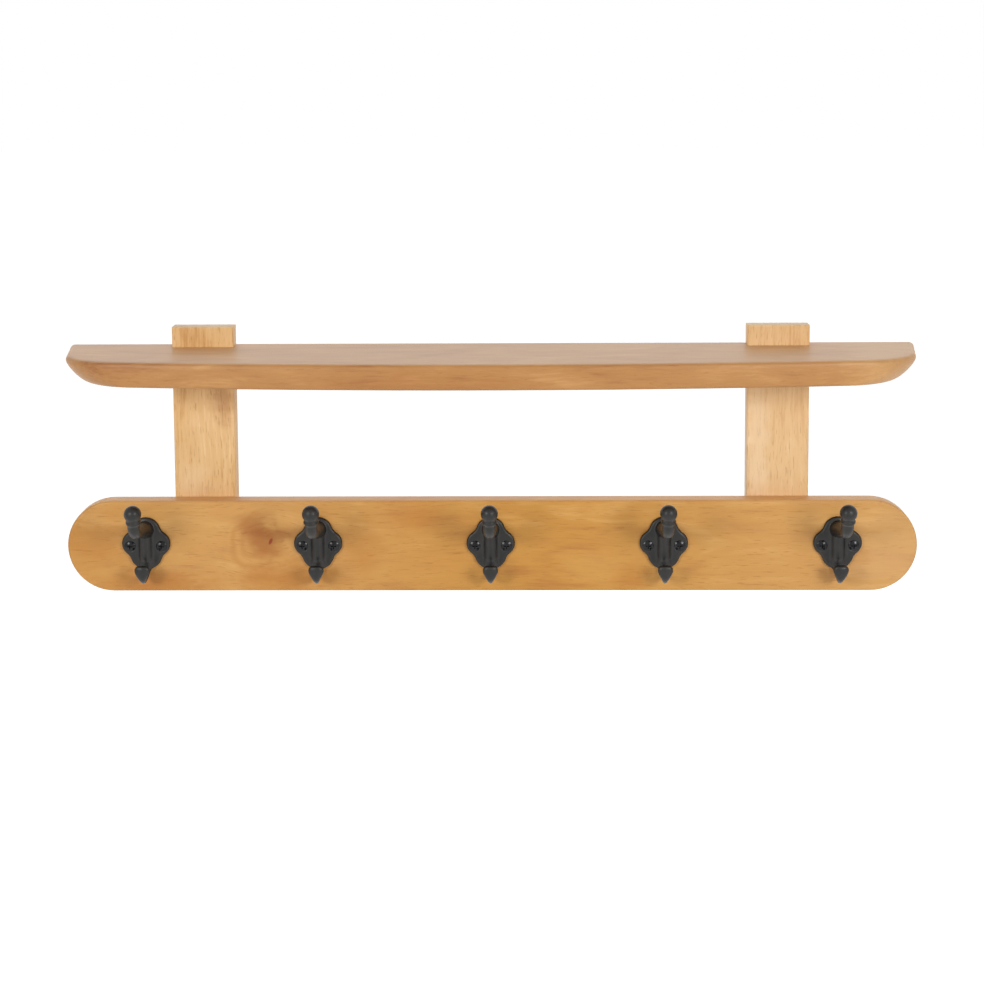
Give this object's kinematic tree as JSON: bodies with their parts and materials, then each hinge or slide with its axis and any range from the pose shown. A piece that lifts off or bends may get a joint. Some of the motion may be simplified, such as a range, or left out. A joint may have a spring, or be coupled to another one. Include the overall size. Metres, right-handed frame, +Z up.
{
  "type": "peg rail with shelf",
  "caption": "Wall-hung wooden coat rack: a bow-fronted shelf over a round-ended rail that carries a row of black cast double hooks.",
  "frame": {"origin": "middle of the shelf's back edge, half way through its thickness, in the wall's plane", "axes": "+X to the right along the rail, +Y into the wall, +Z up; the rack stands out towards -Y"},
  "size_m": [0.8018, 0.12, 0.2496],
  "materials": {
    "rail_wood": "clear matt oil on knotty softwood, warm honey colour",
    "shelf_wood": "clear satin oil on close-grained wood, slightly redder than the rail",
    "upright_wood": "clear matt oil on paler wood with short dark pores",
    "hook_iron": "black satin coat on a slightly rough casting",
    "hook_screw_steel": "black, glossy",
    "board_screw_steel": "yellow zinc",
    "hanger_steel": "bright zinc"
  },
  "bodies": {
    "root": {"rail_board": "rail_wood", "shelf_board": "shelf_wood", "left_upright": "upright_wood", "right_upright": "upright_wood", "hook_1": "hook_iron", "hook_1_screws": "hook_screw_steel", "hook_2": "hook_iron", "hook_2_screws": "hook_screw_steel", "hook_3": "hook_iron", "hook_3_screws": "hook_screw_steel", "hook_4": "hook_iron", "hook_4_screws": "hook_screw_steel", "hook_5": "hook_iron", "hook_5_screws": "hook_screw_steel", "left_rail_screws": "board_screw_steel", "left_shelf_screws": "board_screw_steel", "left_keyhole_plate": "hanger_steel", "left_keyhole_screws": "hanger_steel", "right_rail_screws": "board_screw_steel", "right_shelf_screws": "board_screw_steel", "right_keyhole_plate": "hanger_steel", "right_keyhole_screws": "hanger_steel"}
  },
  "joints": []
}
